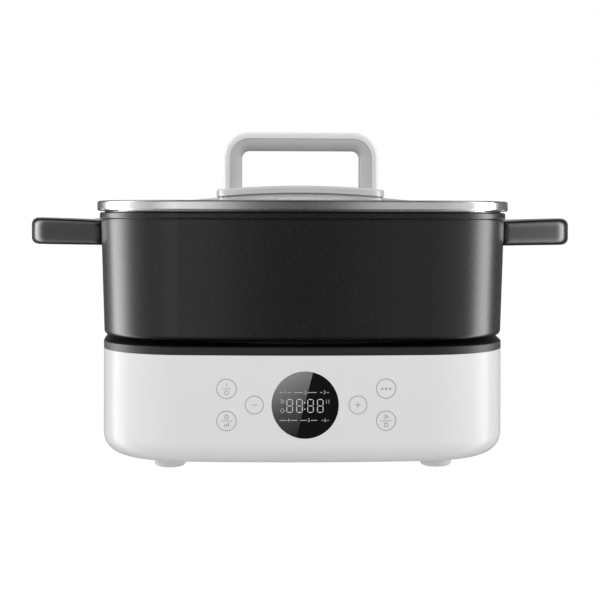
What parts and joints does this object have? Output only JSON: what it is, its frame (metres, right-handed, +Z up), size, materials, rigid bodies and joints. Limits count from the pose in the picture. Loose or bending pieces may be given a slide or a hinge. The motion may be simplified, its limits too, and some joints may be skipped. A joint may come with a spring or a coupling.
{
  "type": "electric hot pot",
  "caption": "Electric hot pot: a heated base with round display and touch keys, a lift-off cast pot with ear handles, and a lift-off glass lid with a bar handle.",
  "frame": {"origin": "on the table under the middle of the base", "axes": "+Z up; +X to the right of someone who faces the display, through the right ear handle; the display faces -Y"},
  "size_m": [0.375, 0.2604, 0.2185],
  "materials": {
    "black_plastic": "black heat resistant moulding",
    "brass_terminal": "plated brass",
    "cast_plate": "cast aluminium",
    "circuit_board": "green circuit board",
    "component_black": "black component case",
    "component_blue": "blue component case",
    "foot_rubber": "light grey rubber",
    "grey_plastic": "light grey moulding",
    "lens_plastic": "smoked glossy window",
    "lid_glass": "clear tempered glass",
    "nonstick_pot": "cast aluminium with a black satin non-stick coat",
    "screw_steel": "zinc plated steel",
    "silicone": "grey silicone rubber",
    "steel_rim": "polished stainless steel",
    "steel_sheet": "bright sheet steel",
    "white_plastic": "satin white moulding"
  },
  "bodies": {
    "base": {"base_housing": "white_plastic", "base_screws": "screw_steel", "bottom_cover": "white_plastic", "bottom_cover_screws": "screw_steel", "buzzer": "component_black", "control_board": "circuit_board", "control_board_screws": "screw_steel", "cutout_screws": "screw_steel", "display_lens": "lens_plastic", "element_bushes": "silicone", "filter_capacitors": "component_blue", "foot_front_left": "foot_rubber", "foot_front_right": "foot_rubber", "foot_rear_left": "foot_rubber", "foot_rear_right": "foot_rubber", "foot_screws": "screw_steel", "heat_shield": "steel_sheet", "heating_element": "steel_sheet", "heating_plate": "cast_plate", "inlet_body": "black_plastic", "inlet_pins": "brass_terminal", "inlet_screws": "screw_steel", "key_pads": "silicone", "led_display": "component_black", "plate_screws": "screw_steel", "power_board": "circuit_board", "power_board_screws": "screw_steel", "power_relay": "component_blue", "probe_holder": "component_black", "probe_spring": "steel_sheet", "shield_screws": "screw_steel", "terminal_block": "brass_terminal", "thermal_cutout": "steel_sheet", "top_cover": "black_plastic", "transformer": "component_black"},
    "probe": {"probe_cap": "steel_sheet"},
    "pot": {"ear_left": "black_plastic", "ear_right": "black_plastic", "ear_screws": "screw_steel", "pot_body": "nonstick_pot"},
    "lid": {"handle_gasket": "silicone", "handle_grip": "grey_plastic", "handle_saddle": "grey_plastic", "handle_screws": "screw_steel", "handle_seals": "silicone", "handle_shell": "grey_plastic", "lid_glass": "lid_glass", "lid_rim": "steel_rim", "steam_vent": "steel_rim"}
  },
  "joints": [
    {"name": "pot_lift", "type": "slide", "parent": "base", "child": "pot", "axis": [0, 0, 1], "range_m": [0, 0.15]},
    {"name": "lid_lift", "type": "slide", "parent": "pot", "child": "lid", "axis": [0, 0, 1], "range_m": [0, 0.15]},
    {"name": "probe_press", "type": "slide", "parent": "base", "child": "probe", "axis": [0, 0, 1], "range_m": [-0.002, 0], "stiffness_N_per_m": 600, "springref_m": 0.002, "deforming": ["probe_spring"]}
  ]
}
